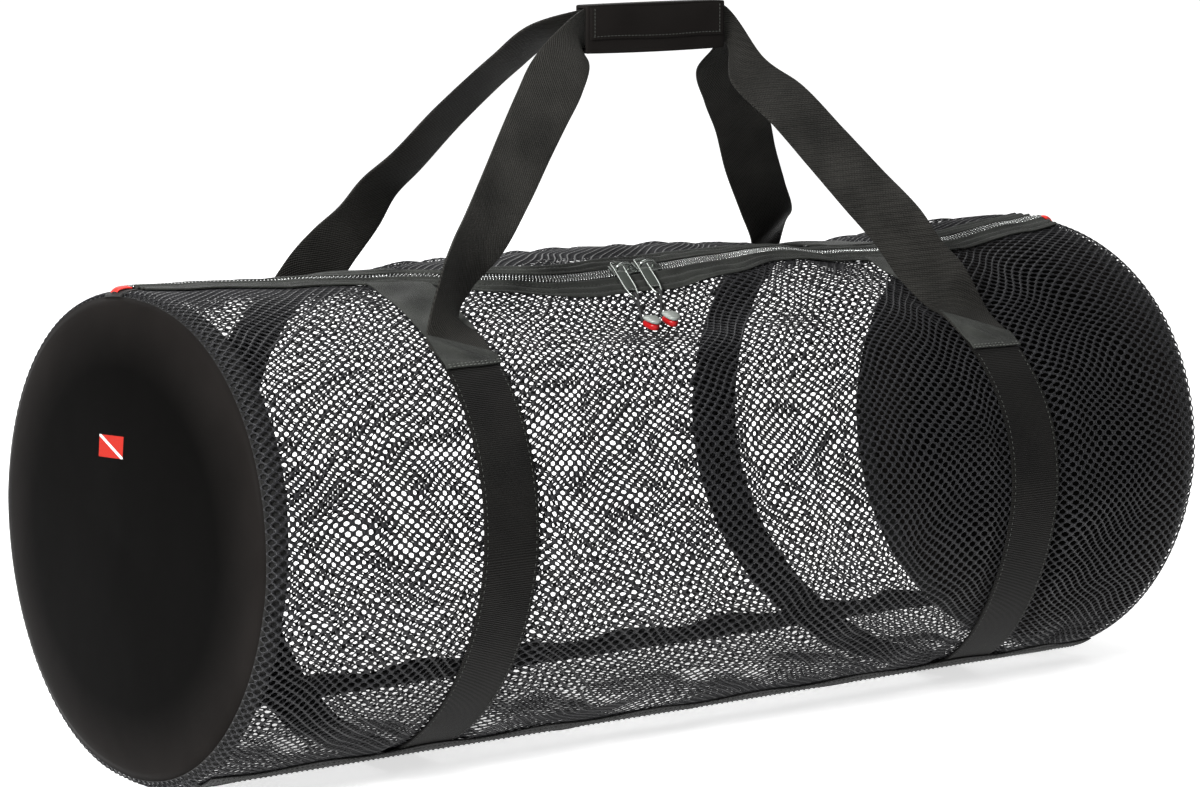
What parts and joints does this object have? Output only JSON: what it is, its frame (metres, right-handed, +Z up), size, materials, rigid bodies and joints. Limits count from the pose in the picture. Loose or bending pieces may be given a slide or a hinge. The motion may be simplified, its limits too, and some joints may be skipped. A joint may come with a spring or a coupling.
{
  "type": "mesh gear bag",
  "caption": "Long see-through mesh gear bag with padded round end panels, a full-length top zip, webbing rings and carry handles joined in one padded grip.",
  "frame": {"origin": "on the floor, below the middle of the bag", "axes": "+X along the bag, the front towards -Y, +Z up through the zip to the grip"},
  "size_m": [0.8535, 0.4385, 0.547],
  "materials": {
    "net": "open knitted mesh, slight sheen",
    "cloth": "close woven, matt",
    "panel": "smooth coated cloth, soft sheen",
    "coil": "bright",
    "red": "satin",
    "metal": "dark satin",
    "cord": "braided",
    "pale": "satin",
    "webbing": "ribbed"
  },
  "bodies": {
    "root": {"net_front": "net", "net_back": "net", "net_bottom": "net", "seam_band_front": "cloth", "seam_band_back": "cloth", "zip_tape": "cloth", "zip_border_front": "cloth", "zip_border_back": "cloth", "end_panel_left": "panel", "end_panel_right": "panel", "grip_sleeve": "panel", "grip_flap": "panel", "zip_coil": "coil", "zip_tab_left": "red", "zip_tab_right": "red", "finger_pull_end_1": "red", "finger_pull_end_2": "red", "slider_1": "metal", "slider_2": "metal", "pull_tab_1": "metal", "pull_tab_2": "metal", "pull_cord_1": "cord", "pull_cord_2": "cord", "finger_pull_1": "pale", "finger_pull_2": "pale", "ring_left": "webbing", "ring_right": "webbing", "handle_front": "webbing", "handle_back": "webbing", "strip_front_left": "cloth", "strip_front_right": "cloth", "strip_back_left": "cloth", "strip_back_right": "cloth", "patch_front_left": "cloth", "patch_front_right": "cloth", "patch_back_left": "cloth", "patch_back_right": "cloth"}
  },
  "joints": []
}
